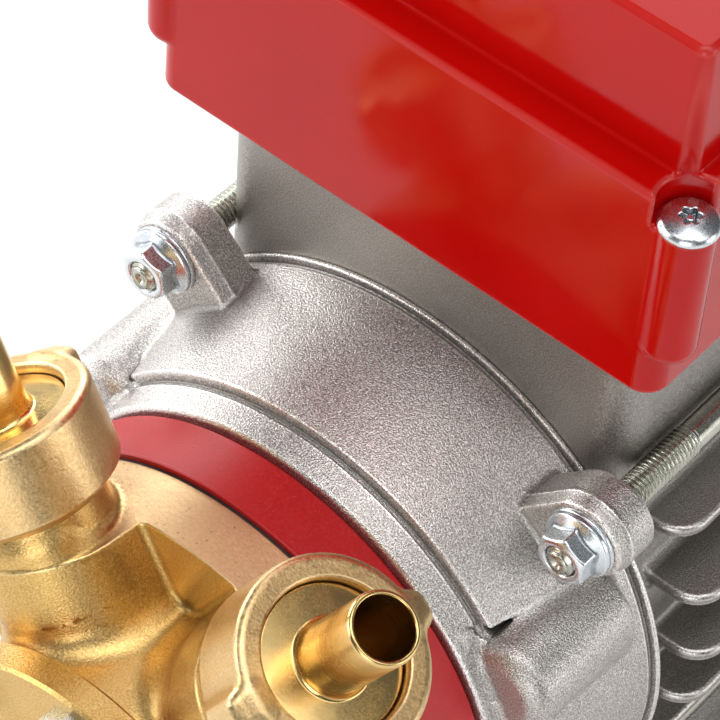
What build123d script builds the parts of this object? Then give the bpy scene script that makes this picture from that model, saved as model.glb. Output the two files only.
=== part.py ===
from build123d import *
import os
from math import sqrt, sin, cos, radians

os.makedirs("parts", exist_ok=True)

# ---- driving dimensions, millimetres -------------------------------------
AXIS_H = 71.0          # shaft height over the feet
Y0 = -64.3             # bracket lip front, measured from the middle of the length
PORT_LEAN = 29.6       # lean of each hose port from the vertical
PORT_Y = -31.0         # plane of the two port axes, from the lip front
PORT_Z = -4.4          # height where the port axes cross, from the shaft
NUT_BOT, NUT_TOP = 57.5, 74.9
TAIL_TIP = 92.5
TAIL_R, TAIL_BORE = 6.2, 5.15
NUT_R, NUT_HOLE = 17.0, 12.6
THREAD_R, RELIEF_R, NECK_R, BOSS_R = 13.4, 12.2, 13.4, 14.6
FLANK = 15.5           # half width of a boss where it runs back to the drum
HUB_R, HUB_Y = 31.0, -46.0
LIP_R0, LIP_R1, LIP_L = 49.3, 51.1, 6.2
MAIN_R0, MAIN_R1 = 52.6, 57.2
CHEEK_X, CHEEK_Z, CHEEK_R = 46.2, 22.0, 9.5      # side bosses of the bracket
RELIEF_Z, RELIEF_Y = 33.2, 29.5                   # valley above each side boss
BEAD_R = 58.3
REAR_Y = 35.4          # bracket to stator frame joint
FRAME_END = 136.0
RING_R, RING_L = 48.4, 12.0
BODY_R = 47.6
COVER_Y = -23.4        # front face of the drum
ROD_X, ROD_Z, ROD_R = 46.0, 47.7, 3.0
EAR_Y0, EAR_Y1, EAR_R = 21.8, 31.0, 8.2
FIN_Z = (44.5, 30.2, 16.0, 1.8, -12.4, -26.6, -40.8)
FIN_T, FIN_R, CORE_R = 2.6, 60.8, 49.0
BOX_X = -1.5           # middle of the pedestal and of the box, from the shaft
PED_HW, PED_Y0, PED_Y1, PED_TOP = 44.4, 35.4, 126.0, 82.0
BOX_HW, BOX_Y0, BOX_Y1 = 52.7, 27.0, 134.0
BOX_Z0, LEDGE_Z, BLOCK_Z = 82.0, 125.0, 150.0
POST_X, POST_Y, POST_R = 50.2, 31.0, 4.5
FOOT_A, FOOT_B, FOOT_HOLE = 112.0, 90.0, 3.5
FEET_MID = 86.0        # middle of the foot pattern, from the lip front


def side():
    return Plane(origin=(0, Y0, AXIS_H), x_dir=(0, 1, 0), z_dir=(1, 0, 0))


def front(y):
    return Plane(origin=(0, Y0 + y, AXIS_H), x_dir=(1, 0, 0), z_dir=(0, -1, 0))


def level(z):
    return Plane(origin=(0, Y0, AXIS_H + z), x_dir=(1, 0, 0), z_dir=(0, 0, 1))


SHAFT = Axis((0, Y0, AXIS_H), (0, 1, 0))


def port_side(s):
    """Plane through one port axis: local y runs up the port, local x away from it."""
    a = radians(PORT_LEAN) * s
    n = (sin(a), 0, cos(a))
    return Plane(origin=(0, Y0 + PORT_Y, AXIS_H + PORT_Z), x_dir=(cos(a), 0, -sin(a)),
                 z_dir=(0, -1, 0)), Axis((0, Y0 + PORT_Y, AXIS_H + PORT_Z), n)


def port_cross(s, d):
    """Plane square to a port axis at distance d along it."""
    a = radians(PORT_LEAN) * s
    n = (sin(a), 0, cos(a))
    return Plane(origin=(n[0] * d, Y0 + PORT_Y, AXIS_H + PORT_Z + n[2] * d),
                 x_dir=(cos(a), 0, -sin(a)), z_dir=n)


rod_spots = [(ROD_X, ROD_Z), (-ROD_X, ROD_Z), (-ROD_X, -ROD_Z), (ROD_X, -ROD_Z)]

# ---- motor bracket: lip, bare front panel, ears, side bosses -------------
with BuildPart() as motor_bracket:
    with BuildSketch(side()):
        with BuildLine():
            Polyline((0, 0), (0, LIP_R0 - 0.8), (0.8, LIP_R0), (LIP_L, LIP_R1), (LIP_L, MAIN_R0 - 0.5),
                     (LIP_L + 0.5, MAIN_R0), (33.4, MAIN_R1), (33.6, MAIN_R1 - 0.4), (34.5, MAIN_R1 - 0.4),
                     (34.6, BEAD_R), (REAR_Y, BEAD_R), (REAR_Y, 0), (0, 0))
        make_face()
    revolve(axis=SHAFT)
    for sx in (1, -1):
        for sz in (1, -1):
            with BuildSketch(front(EAR_Y1)):
                with Locations((sx * ROD_X, sz * ROD_Z)):
                    Circle(EAR_R)
                with BuildLine():
                    d = 1 / sqrt(2)
                    Polyline((sx * (ROD_X + EAR_R * d), sz * (ROD_Z - EAR_R * d)),
                             (sx * (ROD_X - EAR_R * d), sz * (ROD_Z + EAR_R * d)),
                             (sx * 33.0, sz * 45.5), (sx * 33, sz * 33), (sx * 45.0, sz * 33.0),
                             (sx * (ROD_X + EAR_R * d), sz * (ROD_Z - EAR_R * d)))
                make_face()
            extrude(amount=EAR_Y1 - EAR_Y0)
    for s in (1, -1):
        for t in (1, -1):
            with BuildSketch(front(RELIEF_Y)):
                with BuildLine():
                    Polyline((s * 33.5, t * RELIEF_Z), (s * 64.0, t * RELIEF_Z), (s * 64.0, t * CHEEK_Z), (s * 41.6, t * CHEEK_Z),
                             (s * 33.5, t * RELIEF_Z))
                make_face()
            extrude(amount=RELIEF_Y + 1.0, mode=Mode.SUBTRACT)
            with BuildSketch(front(RELIEF_Y)):
                with Locations((s * CHEEK_X, t * CHEEK_Z)):
                    Circle(CHEEK_R)
            extrude(amount=RELIEF_Y - 3.0)
    for p in rod_spots:
        with BuildSketch(front(EAR_Y1 + 1)):
            with Locations(p):
                Circle(ROD_R + 0.3)
        extrude(amount=EAR_Y1 - EAR_Y0 + 2, mode=Mode.SUBTRACT)

# ---- red adapter ring and the seal line ----------------------------------
with BuildPart() as red_ring:
    with BuildSketch(side()):
        with BuildLine():
            Polyline((0, 0), (0, RING_R - 1.6), (-1.5, RING_R - 1.6), (-1.5, RING_R), (-RING_L + 1.4, RING_R), (-RING_L + 1.2, RING_R + 0.25),
                     (-RING_L + 0.2, RING_R + 0.25), (-RING_L, RING_R), (-RING_L, 0), (0, 0))
        make_face()
    revolve(axis=SHAFT)

with BuildPart() as body_seal:
    with BuildSketch(side()):
        with BuildLine():
            Polyline((-RING_L, 0), (-RING_L, RING_R - 0.9), (-RING_L - 0.6, RING_R - 0.9), (-RING_L - 0.6, 0), (-RING_L, 0))
        make_face()
    revolve(axis=SHAFT)

# ---- brass pump body disc --------------------------------------------------
with BuildPart() as pump_body:
    with BuildSketch(side()):
        with BuildLine():
            Polyline((-RING_L - 0.6, 0), (-RING_L - 0.6, BODY_R), (COVER_Y + 0.4, BODY_R),
                     (COVER_Y, BODY_R - 0.4), (COVER_Y, 0), (-RING_L - 0.6, 0))
        make_face()
    revolve(axis=SHAFT)

# ---- hub of the body casting: two port bosses in a V, notched between -----
with BuildPart() as body_hub:
    with BuildSketch(side()):
        with BuildLine():
            Polyline((COVER_Y, 0), (COVER_Y, HUB_R + 1.5), (COVER_Y - 3.0, HUB_R), (HUB_Y, HUB_R), (HUB_Y, 0), (COVER_Y, 0))
        make_face()
    revolve(axis=SHAFT)
    for s in (1, -1):
        pl, ax = port_side(s)
        with BuildSketch(pl):
            with BuildLine():
                Polyline((0, 5), (BOSS_R, 5), (BOSS_R, 46.5), (BOSS_R - 0.5, 47.5), (NECK_R, 48.5), (RELIEF_R, 54.0),
                         (RELIEF_R, 58.4), (THREAD_R - 0.8, 58.8), (THREAD_R - 0.8, 69.6), (THREAD_R - 1.8, 70.6), (0, 70.6), (0, 5))
            make_face()
        revolve(axis=ax)
    for s in (1, -1):
        with BuildSketch(port_cross(s, 71.0)):
            Circle(8.5)
        extrude(amount=-34.0, mode=Mode.SUBTRACT)

# ---- straight flanks of the bosses, running back to the drum ---------------
with BuildPart() as boss_flanks:
    for s in (1, -1):
        pl, ax = port_side(s)
        with BuildSketch(pl):
            with Locations((0, 30.0)):
                Rectangle(2 * FLANK, 50.0)
        extrude(amount=PORT_Y - COVER_Y)
    with BuildSketch(front(PORT_Y)):
        Circle(BODY_R)
    extrude(amount=PORT_Y - COVER_Y, mode=Mode.INTERSECT)

with BuildPart() as pump_body_cast:
    add(pump_body.part)
    add(boss_flanks.part)
    add(body_hub.part)

# ---- round front cover with its screws -------------------------------------
with BuildPart() as pump_cover:
    with BuildSketch(side()):
        with BuildLine():
            Polyline((HUB_Y, 0), (HUB_Y, 33.4), (HUB_Y - 0.6, 34.0), (HUB_Y - 5.4, 34.0), (HUB_Y - 6.0, 33.4),
                     (HUB_Y - 6.0, 21.0), (HUB_Y - 8.0, 18.5), (HUB_Y - 9.0, 15.0), (HUB_Y - 9.0, 0), (HUB_Y, 0))
        make_face()
    revolve(axis=SHAFT)

with BuildPart() as cover_screws:
    with BuildSketch(front(HUB_Y - 6.0)):
        with PolarLocations(27.5, 6, start_angle=30):
            RegularPolygon(radius=4.0, side_count=6, major_radius=False)
    extrude(amount=3.4)

# ---- union nuts, hose tails, gaskets --------------------------------------
def union_nut(s, turn):
    """Round nut with two lugs, turned about its axis so that one lug lies at this angle."""
    pl, ax = port_side(s)
    with BuildPart() as nut:
        with BuildSketch(pl):
            with BuildLine():
                Polyline((THREAD_R - 0.6, NUT_BOT), (NUT_R - 2.8, NUT_BOT), (NUT_R - 0.6, NUT_BOT + 2.2), (NUT_R, NUT_BOT + 4),
                         (NUT_R, NUT_TOP - 2.2), (NUT_R - 0.6, NUT_TOP - 0.8), (NUT_R - 2.0, NUT_TOP - 0.2), (NUT_HOLE + 0.4, NUT_TOP),
                         (NUT_HOLE, NUT_TOP - 0.4), (NUT_HOLE, NUT_TOP - 2.4), (THREAD_R - 0.6, NUT_TOP - 2.4), (THREAD_R - 0.6, NUT_BOT))
            make_face()
        revolve(axis=ax)
        with BuildSketch(port_cross(s, NUT_BOT + 1.5)):
            for a in (turn, turn + 180):
                with Locations(Location(((NUT_R + 0.8) * cos(radians(a)), (NUT_R + 0.8) * sin(radians(a)), 0), (0, 0, a))):
                    RectangleRounded(5.6, 7.2, 2.2)
        extrude(amount=NUT_TOP - NUT_BOT - 2.6)
        with BuildSketch(port_cross(s, NUT_BOT + 1.0)):
            Circle(THREAD_R)
        extrude(amount=NUT_TOP - NUT_BOT - 4.0, mode=Mode.SUBTRACT)
    return nut


def hose_tail(s):
    pl, ax = port_side(s)
    with BuildPart() as tail:
        with BuildSketch(pl):
            with BuildLine():
                Polyline((TAIL_BORE, 71.3), (12.3, 71.3), (12.3, 73.1), (TAIL_R + 1.4, 73.3), (TAIL_R + 0.4, 74.2), (TAIL_R, 76.0),
                         (TAIL_R, TAIL_TIP - 0.5), (TAIL_R - 0.4, TAIL_TIP), (TAIL_BORE, TAIL_TIP), (TAIL_BORE, 71.3))
            make_face()
        revolve(axis=ax)
    return tail


def tail_gasket(s):
    with BuildPart() as g:
        with BuildSketch(port_cross(s, 70.6)):
            Circle(11.6)
            Circle(8.5, mode=Mode.SUBTRACT)
        extrude(amount=0.7)
    return g


union_nut_left, union_nut_right = union_nut(-1, 90.0), union_nut(1, 79.0)
hose_tail_left, hose_tail_right = hose_tail(-1), hose_tail(1)
g_l, g_r = tail_gasket(-1), tail_gasket(1)

# ---- stator frame: core, fins, pedestal, feet ------------------------------
with BuildPart() as stator_frame:
    with BuildSketch(front(FRAME_END)):
        Circle(CORE_R)
    extrude(amount=FRAME_END - REAR_Y)
    for z in FIN_Z:
        w = sqrt(FIN_R ** 2 - z ** 2)
        with BuildSketch(level(z - FIN_T / 2)):
            with Locations((0, (44.4 + FRAME_END - 8.4) / 2)):
                RectangleRounded(2 * w, FRAME_END - 8.4 - 44.4, 5.0)
        extrude(amount=FIN_T)
    with BuildSketch(level(PED_TOP)):
        with Locations((BOX_X, (PED_Y0 + PED_Y1) / 2)):
            RectangleRounded(2 * PED_HW, PED_Y1 - PED_Y0, 7.0)
    extrude(amount=-(PED_TOP - 20))
    for s in (1, -1):
        with BuildSketch(front(FEET_MID + 41.0)):
            with BuildLine():
                Polyline((s * 20, -38), (s * 40.5, -26), (s * 40.5, -57), (s * 50, -63.5), (s * 50, -AXIS_H), (s * 24, -AXIS_H),
                         (s * 20, -38))
            make_face()
        extrude(amount=82.0)
        with BuildSketch(level(-AXIS_H)):
            with Locations((s * 50.0, FEET_MID)):
                RectangleRounded(34.0, 106.0, 5.0)
        extrude(amount=8.0)
    with BuildSketch(level(-AXIS_H)):
        with Locations((0, FEET_MID)):
            with GridLocations(FOOT_A, FOOT_B, 2, 2):
                Circle(FOOT_HOLE)
    extrude(amount=12.0, mode=Mode.SUBTRACT)
    with BuildSketch(front(FRAME_END + 1)):
        with Locations(*rod_spots):
            Circle(ROD_R + 0.3)
    extrude(amount=FRAME_END - REAR_Y + 2, mode=Mode.SUBTRACT)

# ---- rear shield, shaft, fan, cowl -----------------------------------------
with BuildPart() as rear_shield:
    with BuildSketch(side()):
        with BuildLine():
            Polyline((FRAME_END, 0), (FRAME_END, BEAD_R), (FRAME_END + 6, BEAD_R), (FRAME_END + 9, 55.0), (FRAME_END + 13, 52.6),
                     (FRAME_END + 13, 24.0), (FRAME_END + 17, 20.0), (FRAME_END + 17, 0), (FRAME_END, 0))
        make_face()
    revolve(axis=SHAFT)
    for sx in (1, -1):
        for sz in (1, -1):
            with BuildSketch(front(FRAME_END + 9)):
                with Locations((sx * ROD_X, sz * ROD_Z)):
                    Circle(EAR_R)
                with BuildLine():
                    d = 1 / sqrt(2)
                    Polyline((sx * (ROD_X + EAR_R * d), sz * (ROD_Z - EAR_R * d)),
                             (sx * (ROD_X - EAR_R * d), sz * (ROD_Z + EAR_R * d)),
                             (sx * 33.0, sz * 45.5), (sx * 33, sz * 33), (sx * 45.0, sz * 33.0),
                             (sx * (ROD_X + EAR_R * d), sz * (ROD_Z - EAR_R * d)))
                make_face()
            extrude(amount=9.0)
    for p in rod_spots:
        with BuildSketch(front(FRAME_END + 10)):
            with Locations(p):
                Circle(ROD_R + 0.3)
        extrude(amount=11.0, mode=Mode.SUBTRACT)

FAN_Y0, FAN_Y1, COWL_Y1, COWL_R = 158.0, 174.0, 184.0, 55.6
with BuildPart() as motor_shaft:
    with BuildSketch(front(FAN_Y1 + 3.0)):
        Circle(6.0)
    extrude(amount=FAN_Y1 + 3.0 - (FRAME_END + 17))

with BuildPart() as cooling_fan:
    with BuildSketch(front(FAN_Y1)):
        Circle(14.0)
        Circle(6.0, mode=Mode.SUBTRACT)
    extrude(amount=FAN_Y1 - FAN_Y0)
    with BuildSketch(front(FAN_Y0 + 2.0)):
        Circle(46.0)
        Circle(13.0, mode=Mode.SUBTRACT)
    extrude(amount=2.0)
    with BuildSketch(front(FAN_Y1)):
        with PolarLocations(29.0, 8):
            Rectangle(33.0, 2.0)
    extrude(amount=FAN_Y1 - FAN_Y0 - 1.0)

with BuildPart() as fan_cowl:
    with BuildSketch(side()):
        with BuildLine():
            Polyline((FRAME_END + 13.0, COWL_R), (COWL_Y1 - 6, COWL_R), (COWL_Y1 - 2, COWL_R - 1.8), (COWL_Y1, COWL_R - 6.0),
                     (COWL_Y1, 0), (COWL_Y1 - 1.8, 0), (COWL_Y1 - 1.8, COWL_R - 6.4), (COWL_Y1 - 3.4, COWL_R - 3.0),
                     (COWL_Y1 - 6.6, COWL_R - 1.8), (FRAME_END + 13.0, COWL_R - 1.8), (FRAME_END + 13.0, COWL_R))
        make_face()
    revolve(axis=SHAFT)
    with BuildSketch(front(COWL_Y1 + 1.0)):
        for x in range(-40, 41, 8):
            h = 2 * sqrt(44.0 ** 2 - x ** 2)
            n = 2 if h > 40 else 1
            with Locations((x, 0)):
                if n == 1:
                    SlotOverall(h, 4.0, rotation=90)
                else:
                    with Locations((0, h / 4 + 1.5), (0, -h / 4 - 1.5)):
                        SlotOverall(h / 2 - 3, 4.0, rotation=90)
    extrude(amount=4.0, mode=Mode.SUBTRACT)

with BuildPart() as cowl_screws:
    for a in (0, 90, 180, 270):
        pl = Plane(origin=(52.6 * cos(radians(a)), Y0 + FRAME_END + 16.5, AXIS_H + 52.6 * sin(radians(a))),
                   x_dir=(0, 1, 0), z_dir=(cos(radians(a)), 0, sin(radians(a))))
        with BuildSketch(pl.offset(3.0)):
            Circle(3.6)
        extrude(amount=2.2)

# ---- tie rods and flange nuts ----------------------------------------------
STUD_Y0, STUD_Y1 = 15.0, FRAME_END + 16.0
with BuildPart() as tie_rods:
    with BuildSketch(front(STUD_Y1)):
        with Locations(*rod_spots):
            Circle(ROD_R)
    extrude(amount=STUD_Y1 - STUD_Y0)


def flange_nuts(y, d):
    """Four flange nuts bearing on plane y, reaching to side d."""
    with BuildPart() as nuts:
        with BuildSketch(front(y)):
            with Locations(*rod_spots):
                Circle(6.75)
        extrude(amount=1.3 * d)
        with BuildSketch(front(y - 1.3 * d)):
            with Locations(*rod_spots):
                RegularPolygon(radius=5.0, side_count=6, major_radius=False, rotation=12)
        extrude(amount=4.7 * d)
        with BuildSketch(front(y + d)):
            with Locations(*rod_spots):
                Circle(ROD_R)
        extrude(amount=8.0 * d, mode=Mode.SUBTRACT)
    return nuts


front_flange_nuts = flange_nuts(EAR_Y0, 1)
rear_flange_nuts = flange_nuts(FRAME_END + 9, -1)

# ---- terminal box -----------------------------------------------------------
BOX_YM, BOX_L = (BOX_Y0 + BOX_Y1) / 2, BOX_Y1 - BOX_Y0
RECESS_Z, SCREW_Z = 93.5, 119.6
signs = [(sx, sy) for sx in (1, -1) for sy in (1, -1)]
post_spots = [(BOX_X + sx * (POST_X - BOX_X), BOX_YM + sy * (BOX_YM - POST_Y)) for sx, sy in signs]
with BuildPart() as terminal_box:
    with BuildSketch(level(BOX_Z0)):
        with Locations((BOX_X, BOX_YM)):
            RectangleRounded(2 * BOX_HW, BOX_L, 4.5)
    extrude(amount=LEDGE_Z - BOX_Z0, taper=0.6)
    with BuildSketch(level(RECESS_Z)):
        with Locations(*post_spots):
            Circle(5.9)
    extrude(amount=40.0, mode=Mode.SUBTRACT)
    with BuildSketch(level(RECESS_Z - 1.5)):
        with Locations(*post_spots):
            Circle(POST_R)
    extrude(amount=SCREW_Z - RECESS_Z + 1.5)
    with BuildSketch(level(LEDGE_Z)):
        with Locations((BOX_X, BOX_YM)):
            RectangleRounded(2 * BOX_HW - 7.6, BOX_L - 14.0, 2.2)
    extrude(amount=BLOCK_Z - LEDGE_Z, taper=2.5)

with BuildPart() as box_gasket:
    with BuildSketch(level(PED_TOP - 1.2)):
        with Locations((BOX_X, (PED_Y0 + PED_Y1) / 2)):
            RectangleRounded(2 * PED_HW + 2, PED_Y1 - PED_Y0 + 2, 8.0)
            RectangleRounded(2 * PED_HW, PED_Y1 - PED_Y0, 7.0, mode=Mode.SUBTRACT)
    extrude(amount=1.2)

with BuildPart() as box_screws:
    with BuildSketch(level(SCREW_Z)):
        with Locations(*post_spots):
            Circle(5.0)
    extrude(amount=2.5)

SW_Y = BOX_YM
with BuildPart() as switch_bezel:
    with BuildSketch(level(BLOCK_Z)):
        with Locations((BOX_X, SW_Y)):
            RectangleRounded(26.0, 34.0, 2.0)
            Rectangle(19.0, 27.0, mode=Mode.SUBTRACT)
    extrude(amount=2.4)

with BuildPart() as rocker_switch:
    pl = Plane(origin=(0, Y0 + SW_Y, AXIS_H + BLOCK_Z), x_dir=(0, 1, 0), z_dir=(1, 0, 0))
    with BuildSketch(pl.offset(BOX_X - 9.2)):
        with BuildLine():
            Polyline((-13.2, 0), (-13.2, 2.6), (0, 4.0), (13.2, 6.6), (13.2, 0), (-13.2, 0))
        make_face()
    extrude(amount=18.4)

with BuildPart() as cable_gland:
    with BuildSketch(front(BOX_Y1 + 9.5)):
        with Locations((30.0, 96.0)):
            RegularPolygon(radius=9.0, side_count=6, major_radius=False)
    extrude(amount=10.0)
    with BuildSketch(front(BOX_Y1 + 16.0)):
        with Locations((30.0, 96.0)):
            Circle(8.0)
    extrude(amount=7.0)
    with BuildSketch(front(BOX_Y1 + 17.0)):
        with Locations((30.0, 96.0)):
            Circle(4.0)
    extrude(amount=14.0, mode=Mode.SUBTRACT)

with BuildPart() as tail_gaskets:
    add(g_l.part)
    add(g_r.part)


def clear_of(node, *others):
    """The node's solid less the room taken by its neighbours."""
    with BuildPart() as out:
        add(node.part)
        for o in others:
            add(o.part, mode=Mode.SUBTRACT)
    return out


cable_gland = clear_of(cable_gland, terminal_box)

cowl_screws = clear_of(cowl_screws, fan_cowl)
red_ring = clear_of(red_ring, motor_bracket)
fan_cowl = clear_of(fan_cowl, rear_shield, rear_flange_nuts)

motor_bracket.part.label = "motor_bracket"
export_step(motor_bracket.part, "parts/motor_bracket.step")
red_ring.part.label = "red_ring"
export_step(red_ring.part, "parts/red_ring.step")
body_seal.part.label = "body_seal"
export_step(body_seal.part, "parts/body_seal.step")
pump_body_cast.part.label = "pump_body"
export_step(pump_body_cast.part, "parts/pump_body.step")
pump_cover.part.label = "pump_cover"
export_step(pump_cover.part, "parts/pump_cover.step")
cover_screws.part.label = "cover_screws"
export_step(cover_screws.part, "parts/cover_screws.step")
union_nut_left.part.label = "union_nut_left"
export_step(union_nut_left.part, "parts/union_nut_left.step")
union_nut_right.part.label = "union_nut_right"
export_step(union_nut_right.part, "parts/union_nut_right.step")
hose_tail_left.part.label = "hose_tail_left"
export_step(hose_tail_left.part, "parts/hose_tail_left.step")
hose_tail_right.part.label = "hose_tail_right"
export_step(hose_tail_right.part, "parts/hose_tail_right.step")
tail_gaskets.part.label = "tail_gaskets"
export_step(tail_gaskets.part, "parts/tail_gaskets.step")
stator_frame.part.label = "stator_frame"
export_step(stator_frame.part, "parts/stator_frame.step")
rear_shield.part.label = "rear_shield"
export_step(rear_shield.part, "parts/rear_shield.step")
motor_shaft.part.label = "motor_shaft"
export_step(motor_shaft.part, "parts/motor_shaft.step")
cooling_fan.part.label = "cooling_fan"
export_step(cooling_fan.part, "parts/cooling_fan.step")
fan_cowl.part.label = "fan_cowl"
export_step(fan_cowl.part, "parts/fan_cowl.step")
cowl_screws.part.label = "cowl_screws"
export_step(cowl_screws.part, "parts/cowl_screws.step")
tie_rods.part.label = "tie_rods"
export_step(tie_rods.part, "parts/tie_rods.step")
front_flange_nuts.part.label = "front_flange_nuts"
export_step(front_flange_nuts.part, "parts/front_flange_nuts.step")
rear_flange_nuts.part.label = "rear_flange_nuts"
export_step(rear_flange_nuts.part, "parts/rear_flange_nuts.step")
terminal_box.part.label = "terminal_box"
export_step(terminal_box.part, "parts/terminal_box.step")
box_gasket.part.label = "box_gasket"
export_step(box_gasket.part, "parts/box_gasket.step")
box_screws.part.label = "box_screws"
export_step(box_screws.part, "parts/box_screws.step")
switch_bezel.part.label = "switch_bezel"
export_step(switch_bezel.part, "parts/switch_bezel.step")
rocker_switch.part.label = "rocker_switch"
export_step(rocker_switch.part, "parts/rocker_switch.step")
cable_gland.part.label = "cable_gland"
export_step(cable_gland.part, "parts/cable_gland.step")
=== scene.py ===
import bpy
import json
import math
import numpy as np
from mathutils import Matrix, Vector


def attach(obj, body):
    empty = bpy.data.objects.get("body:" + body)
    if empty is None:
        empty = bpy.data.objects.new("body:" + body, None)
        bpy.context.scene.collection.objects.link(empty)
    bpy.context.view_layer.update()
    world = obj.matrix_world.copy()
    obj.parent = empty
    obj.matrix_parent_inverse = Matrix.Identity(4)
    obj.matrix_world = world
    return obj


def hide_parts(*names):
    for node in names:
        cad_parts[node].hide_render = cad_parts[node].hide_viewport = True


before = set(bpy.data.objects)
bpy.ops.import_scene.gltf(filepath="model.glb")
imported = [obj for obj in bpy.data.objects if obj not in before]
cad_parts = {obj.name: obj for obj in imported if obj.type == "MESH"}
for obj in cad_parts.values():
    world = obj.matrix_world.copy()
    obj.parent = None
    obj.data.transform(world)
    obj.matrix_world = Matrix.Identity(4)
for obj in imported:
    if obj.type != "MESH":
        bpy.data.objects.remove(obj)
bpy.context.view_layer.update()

# ---- shared dimensions, millimetres, from the shaft axis at the lip front --------
AXIS_H, Y0 = 71.0, -64.3
LEAN = math.radians(29.6)
PORT_Y, PORT_Z = -31.0, -4.4
ROD_X, ROD_Z = 46.0, 47.7
BOX_X, BOX_YM = -1.5, 80.5
PORTS = {-1: np.array([-math.sin(LEAN), 0.0, math.cos(LEAN)]), 1: np.array([math.sin(LEAN), 0.0, math.cos(LEAN)])}
SPOTS = [(ROD_X, ROD_Z), (-ROD_X, ROD_Z), (-ROD_X, -ROD_Z), (ROD_X, -ROD_Z)]


# ---- distance fields ---------------------------------------------------------------
def rmax(a, b, r):
    """Both a and b, with a rounded edge of radius r."""
    u = np.maximum(a + r, 0.0)
    v = np.maximum(b + r, 0.0)
    return np.minimum(-r, np.maximum(a, b)) + np.sqrt(u * u + v * v)


def rmin(a, b, r):
    """Either a or b, with a fillet of radius r between them."""
    u = np.maximum(r - a, 0.0)
    v = np.maximum(r - b, 0.0)
    return np.maximum(r, np.minimum(a, b)) - np.sqrt(u * u + v * v)


def ramp(t, t0, v0, t1, v1):
    return v0 + (v1 - v0) * np.clip((t - t0) / (t1 - t0), 0.0, 1.0)


def rrect(x, y, hx, hy, r):
    """Rounded rectangle in a plane."""
    qx, qy = np.abs(x) - hx + r, np.abs(y) - hy + r
    return np.minimum(np.maximum(qx, qy), 0.0) + np.hypot(np.maximum(qx, 0.0), np.maximum(qy, 0.0)) - r


def ax(*b):
    """Grid lines from start, step, stop, step, stop ..."""
    out = [b[0]]
    for k in range(1, len(b) - 1, 2):
        n = max(1, int(round((b[k + 1] - out[-1]) / b[k])))
        out.extend(list(np.linspace(out[-1], b[k + 1], n + 1)[1:]))
    return np.array(out, float)


def around(a, b, fine, coarse):
    """Angles once round, finer from a to b degrees."""
    n, m = int(round((b - a) / fine)), int(round((360.0 - b + a) / coarse))
    return np.radians(np.concatenate([np.linspace(a, b, n + 1)[:-1], np.linspace(b, a + 360.0, m + 1)[:-1]]))


def plain(a, b, c):
    return a, b, c


def round_shaft(a, b, c):
    return b * np.cos(a), c, b * np.sin(a)


# ---- mesh from a distance field --------------------------------------------------------
CORNERS = [(0, 0, 0), (1, 0, 0), (0, 1, 0), (1, 1, 0), (0, 0, 1), (1, 0, 1), (0, 1, 1), (1, 1, 1)]
EDGES = [(0, 1), (2, 3), (4, 5), (6, 7), (0, 2), (1, 3), (4, 6), (5, 7), (0, 4), (1, 5), (2, 6), (3, 7)]


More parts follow.
